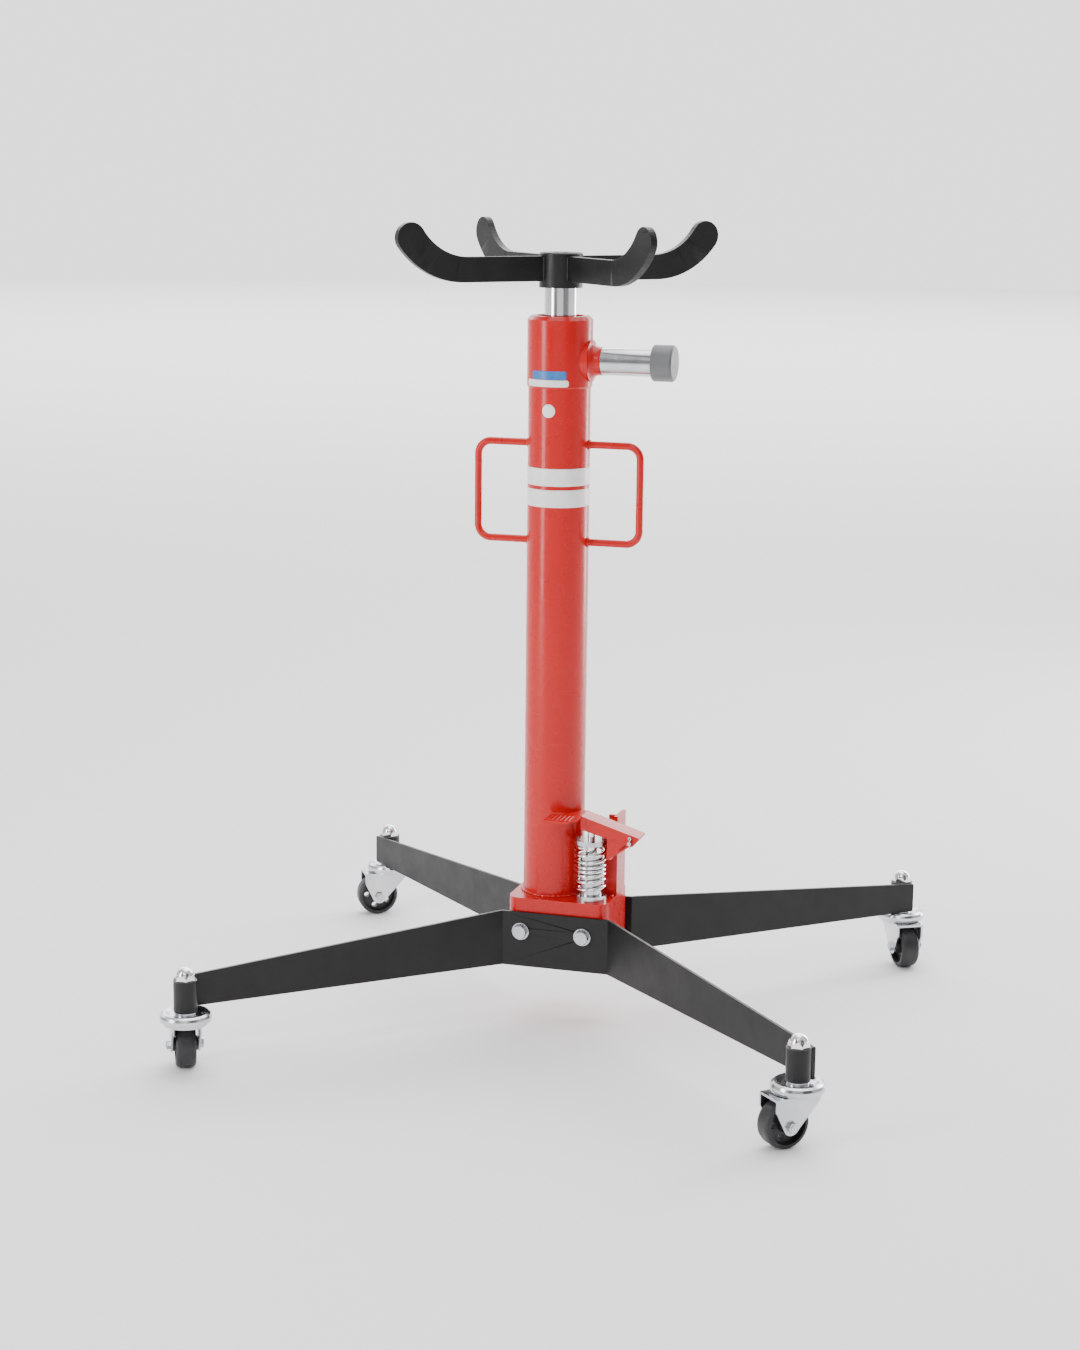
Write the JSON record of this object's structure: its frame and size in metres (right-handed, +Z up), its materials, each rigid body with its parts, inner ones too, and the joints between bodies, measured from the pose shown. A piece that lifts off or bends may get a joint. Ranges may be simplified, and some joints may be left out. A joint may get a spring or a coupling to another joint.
{
  "type": "telescopic transmission jack",
  "caption": "Vertical two-stage hydraulic jack: red column on a black four-legged caster base, foot pump, release knob and a four-armed saddle.",
  "frame": {"origin": "on the floor under the centre of the base block", "axes": "+Z up along the column, front leg plate towards -Y, release knob towards +X"},
  "size_m": [0.8958, 0.8499, 1.0933],
  "materials": {
    "red_paint": "gloss enamel",
    "black_paint": "satin powder coat",
    "zinc_steel": "bright zinc",
    "plain_steel": "turned steel",
    "chrome": "polished",
    "grey_plastic": "moulded grey",
    "seal_rubber": "nitrile",
    "wheel_plastic": "matt moulded"
  },
  "bodies": {
    "base": {"base_block": "red_paint", "front_leg_plate": "black_paint", "rear_leg_plate": "black_paint", "stem_sockets": "black_paint", "leg_bolts": "zinc_steel", "leg_washers": "zinc_steel", "column_tube": "red_paint", "head_collar": "red_paint", "left_handle": "red_paint", "right_handle": "red_paint", "filler_plug": "zinc_steel", "pressure_cylinder": "plain_steel", "wiper_seal": "seal_rubber", "valve_neck": "red_paint", "pump_cylinder": "plain_steel", "plunger_seal": "seal_rubber", "pivot_bracket": "red_paint", "pivot_pin": "zinc_steel", "split_pin": "zinc_steel", "dome_nuts": "chrome", "bearing_balls": "zinc_steel", "pump_spring": "chrome", "caster_stem_fl": "chrome", "caster_stem_fr": "chrome", "caster_stem_bl": "chrome", "caster_stem_br": "chrome"},
    "stage_one": {"stage_one_ram": "plain_steel", "stage_one_seal": "seal_rubber", "stage_one_gland": "plain_steel"},
    "stage_two": {"stage_two_ram": "chrome", "stage_two_seal": "seal_rubber", "saddle_screw": "zinc_steel"},
    "saddle": {"saddle_hub": "black_paint", "saddle_arm_fl": "black_paint", "saddle_arm_fr": "black_paint", "saddle_arm_bl": "black_paint", "saddle_arm_br": "black_paint"},
    "release_knob": {"release_spindle": "zinc_steel", "knob_sleeve": "plain_steel", "knob_cap": "grey_plastic"},
    "foot_pedal": {"pedal": "red_paint"},
    "plunger": {"pump_plunger": "chrome", "spring_cap": "zinc_steel"},
    "swivel_fl": {"fork_fl": "chrome", "axle_fl": "zinc_steel"},
    "roller_fl": {"wheel_fl": "wheel_plastic", "wheel_bush_fl": "plain_steel"},
    "swivel_fr": {"fork_fr": "chrome", "axle_fr": "zinc_steel"},
    "roller_fr": {"wheel_fr": "wheel_plastic", "wheel_bush_fr": "plain_steel"},
    "swivel_bl": {"fork_bl": "chrome", "axle_bl": "zinc_steel"},
    "roller_bl": {"wheel_bl": "wheel_plastic", "wheel_bush_bl": "plain_steel"},
    "swivel_br": {"fork_br": "chrome", "axle_br": "zinc_steel"},
    "roller_br": {"wheel_br": "wheel_plastic", "wheel_bush_br": "plain_steel"}
  },
  "joints": [
    {"name": "first_stage_slide", "type": "slide", "parent": "base", "child": "stage_one", "axis": [0, 0, 1], "range_m": [0, 0.4]},
    {"name": "second_stage_slide", "type": "slide", "parent": "stage_one", "child": "stage_two", "axis": [0, 0, 1], "range_m": [0, 0.4]},
    {"name": "saddle_swivel", "type": "hinge", "parent": "stage_two", "child": "saddle", "pos_m": [-0.021, 0, 1.03], "axis": [0, 0, 1], "continuous": true},
    {"name": "release_turn", "type": "hinge", "parent": "base", "child": "release_knob", "pos_m": [0.05, 0, 0.911], "axis": [1, 0, 0], "range_deg": [0, 360]},
    {"name": "pedal_hinge", "type": "hinge", "parent": "base", "child": "foot_pedal", "pos_m": [0.1, -0.03, 0.266], "axis": [0, -1, 0], "range_deg": [0, 12], "stiffness_Nm_per_rad": 20, "springref_deg": -8.59},
    {"name": "plunger_slide", "type": "slide", "parent": "base", "child": "plunger", "axis": [0, 0, -1], "range_m": [0, 0.0135], "deforming": ["pump_spring"]},
    {"name": "caster_swivel_fl", "type": "hinge", "parent": "base", "child": "swivel_fl", "pos_m": [-0.40483, -0.38618, 0.0665], "axis": [0, 0, 1], "continuous": true},
    {"name": "wheel_spin_fl", "type": "hinge", "parent": "swivel_fl", "child": "roller_fl", "pos_m": [-0.41422, -0.36852, 0.031], "axis": [-0.8829, -0.4695, 0], "continuous": true},
    {"name": "caster_swivel_fr", "type": "hinge", "parent": "base", "child": "swivel_fr", "pos_m": [0.40483, -0.38618, 0.0665], "axis": [0, 0, 1], "continuous": true},
    {"name": "wheel_spin_fr", "type": "hinge", "parent": "swivel_fr", "child": "roller_fr", "pos_m": [0.39069, -0.40033, 0.031], "axis": [0.7071, -0.7071, 0], "continuous": true},
    {"name": "caster_swivel_bl", "type": "hinge", "parent": "base", "child": "swivel_bl", "pos_m": [-0.40483, 0.38618, 0.0665], "axis": [0, 0, 1], "continuous": true},
    {"name": "wheel_spin_bl", "type": "hinge", "parent": "swivel_bl", "child": "roller_bl", "pos_m": [-0.42179, 0.37559, 0.031], "axis": [0.5299, -0.848, 0], "continuous": true},
    {"name": "caster_swivel_br", "type": "hinge", "parent": "base", "child": "swivel_br", "pos_m": [0.40483, 0.38618, 0.0665], "axis": [0, 0, 1], "continuous": true},
    {"name": "wheel_spin_br", "type": "hinge", "parent": "swivel_br", "child": "roller_br", "pos_m": [0.41483, 0.36886, 0.031], "axis": [0.866, 0.5, 0], "continuous": true}
  ],
  "couplings": [
    {"joint": "plunger_slide", "follows": "pedal_hinge", "m_per_rad": 0.0605}
  ]
}
